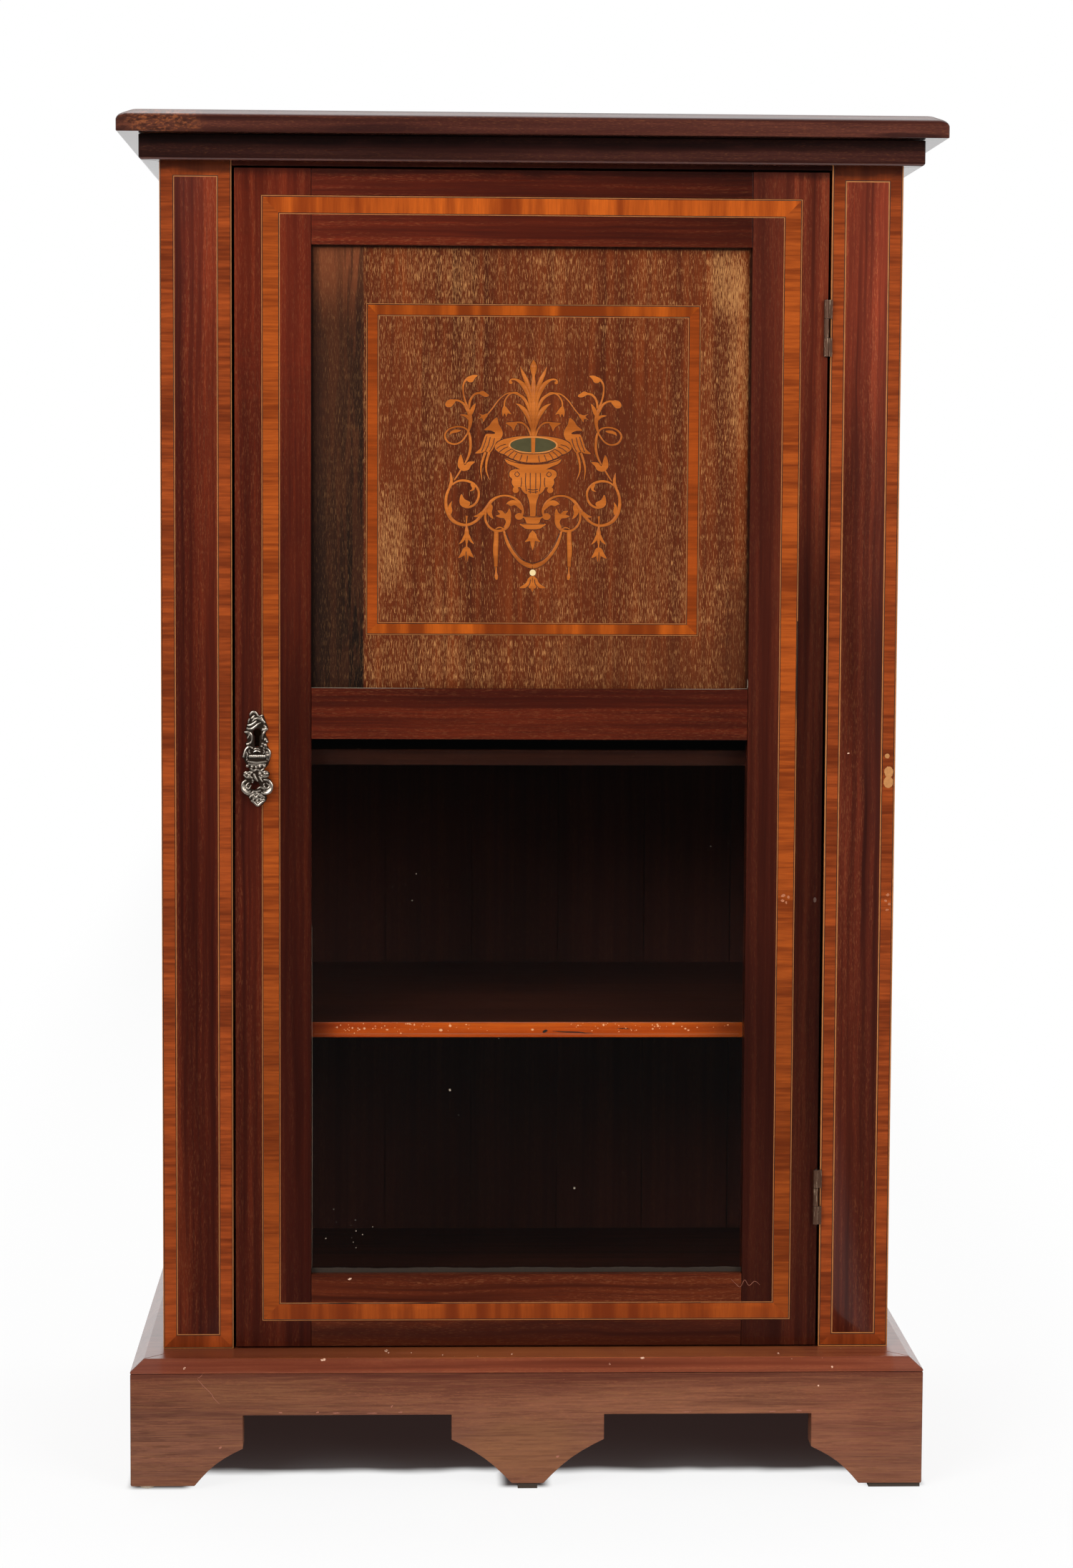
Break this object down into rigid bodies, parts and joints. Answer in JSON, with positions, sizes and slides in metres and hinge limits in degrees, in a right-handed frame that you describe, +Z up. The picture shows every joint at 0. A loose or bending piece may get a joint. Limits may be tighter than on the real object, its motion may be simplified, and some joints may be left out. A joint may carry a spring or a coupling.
{
  "type": "inlaid side cabinet",
  "caption": "Tall inlaid mahogany side cabinet on a bracket plinth, with shelves behind a hinged door that has a marquetry panel above and glass below.",
  "frame": {"origin": "centre of the bounding box's bottom face, on the floor", "axes": "+Z up, +X to the right as seen from the front, +Y towards the back; the door faces -Y"},
  "size_m": [0.58, 0.387, 0.975],
  "materials": {
    "mahogany": "dark red-brown French polish over straight and ribbon grain",
    "plinth_mahogany": "browner, faded polish over plain grain",
    "faded_mahogany": "faded and flecked veneer, satin",
    "carcass_wood": "plain unpolished softwood with a thin stain",
    "shelf_wood": "thin orange-brown stain",
    "satinwood": "satinwood cross-grained banding with box and ebony lines, polished",
    "boxwood": "stained boxwood and holly veneer, polished",
    "glass": "clear drawn sheet glass",
    "aged_brass": "brown, dull and rubbed",
    "old_nickel": "worn silvery plating, dark in its hollows",
    "steel": "dull drawn wire",
    "pad_wood": "dark and rough",
    "pale_glide": "smooth pale dome"
  },
  "bodies": {
    "carcass": {"side_left": "mahogany", "side_right": "mahogany", "stile_left": "mahogany", "stile_right": "mahogany", "top_rail": "mahogany", "top_board": "mahogany", "cornice_front": "mahogany", "cornice_left": "mahogany", "cornice_right": "mahogany", "plinth_front": "plinth_mahogany", "plinth_left": "plinth_mahogany", "plinth_right": "plinth_mahogany", "base_cap_front": "plinth_mahogany", "base_cap_left": "plinth_mahogany", "base_cap_right": "plinth_mahogany", "plinth_back": "carcass_wood", "base_cap_back": "carcass_wood", "corner_block_left": "carcass_wood", "corner_block_right": "carcass_wood", "bottom_board": "carcass_wood", "carcass_top": "carcass_wood", "door_stop": "carcass_wood", "back_panel": "carcass_wood", "shelf_lower": "shelf_wood", "shelf_middle": "shelf_wood", "shelf_upper": "shelf_wood", "stile_banding_left": "satinwood", "stile_banding_right": "satinwood", "hinge_leaf_frame_top": "aged_brass", "hinge_leaf_frame_bottom": "aged_brass", "strike_plate": "aged_brass", "hinge_pin_top": "steel", "hinge_pin_bottom": "steel", "pad_front_right": "pad_wood", "pad_front_middle": "pad_wood", "pad_back_right": "pad_wood", "pad_back_left": "pad_wood", "glide_front_left": "pale_glide"},
    "door": {"door_stile_lock": "mahogany", "door_stile_hinge": "mahogany", "door_rail_top": "mahogany", "door_rail_middle": "mahogany", "door_rail_bottom": "mahogany", "door_banding": "satinwood", "door_panel": "faded_mahogany", "panel_bead": "mahogany", "panel_banding": "satinwood", "marquetry_urn": "boxwood", "marquetry_scroll_left": "boxwood", "marquetry_scroll_right": "boxwood", "glass_pane": "glass", "glazing_bead": "mahogany", "hinge_leaf_door_top": "aged_brass", "hinge_leaf_door_bottom": "aged_brass", "lock_case": "aged_brass", "escutcheon": "old_nickel", "pull_pin": "steel"},
    "lock_bolt": {"lock_bolt": "aged_brass"},
    "drop_pull": {"drop_pull": "old_nickel"}
  },
  "joints": [
    {"name": "door_hinge", "type": "hinge", "parent": "carcass", "child": "door", "pos_m": [0.2084, -0.1587, 0.5158], "axis": [0, 0, 1], "range_deg": [0, 170]},
    {"name": "lock_bolt_slide", "type": "slide", "parent": "door", "child": "lock_bolt", "axis": [-1, 0, 0], "range_m": [0, 0.007]},
    {"name": "drop_pull_hinge", "type": "hinge", "parent": "door", "child": "drop_pull", "pos_m": [-0.1938, -0.1601, 0.5226], "axis": [-1, 0, 0], "range_deg": [0, 80]}
  ]
}
